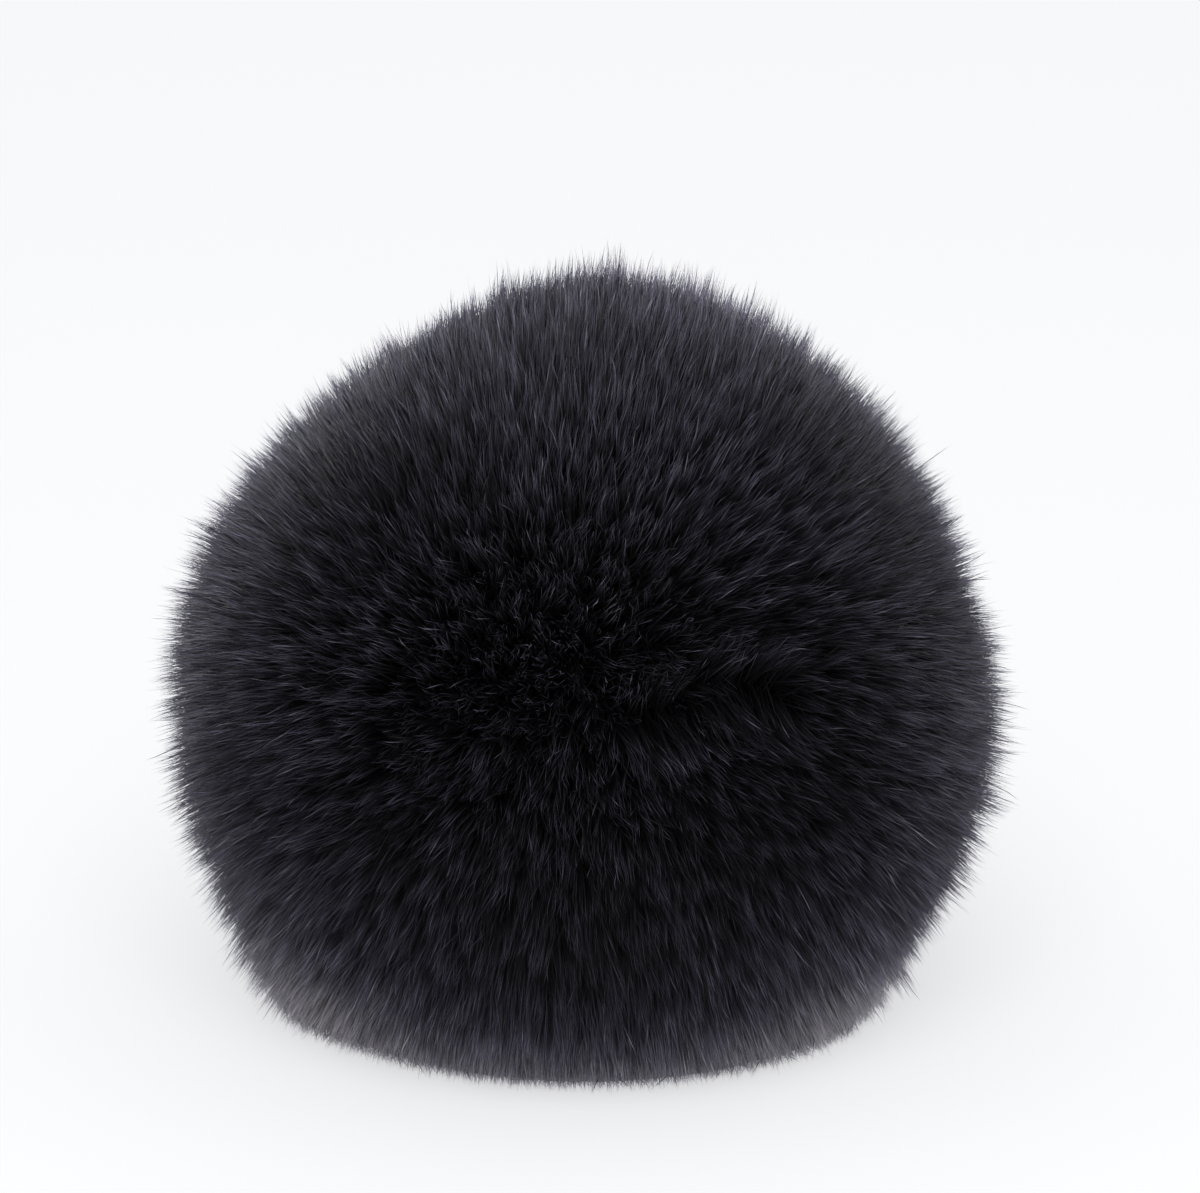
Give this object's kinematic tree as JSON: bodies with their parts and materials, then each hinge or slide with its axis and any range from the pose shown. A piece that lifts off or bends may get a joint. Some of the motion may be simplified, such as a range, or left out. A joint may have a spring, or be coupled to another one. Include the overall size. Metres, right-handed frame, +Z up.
{
  "type": "pom pom",
  "caption": "Round fur pom pom: a dense ball of charcoal pile that stands out all round from its middle and has slumped level where it rests.",
  "frame": {"origin": "on the surface that the ball rests on, under the middle of its width and depth", "axes": "+Z up out of the surface, -Y towards the side that the picture shows"},
  "size_m": [0.0792, 0.08, 0.0716],
  "materials": {
    "fur": "long dense charcoal pile, a little violet, soft and matt with a pale sheen at its edge"
  },
  "bodies": {
    "root": {"fur_ball": "fur"}
  },
  "joints": []
}
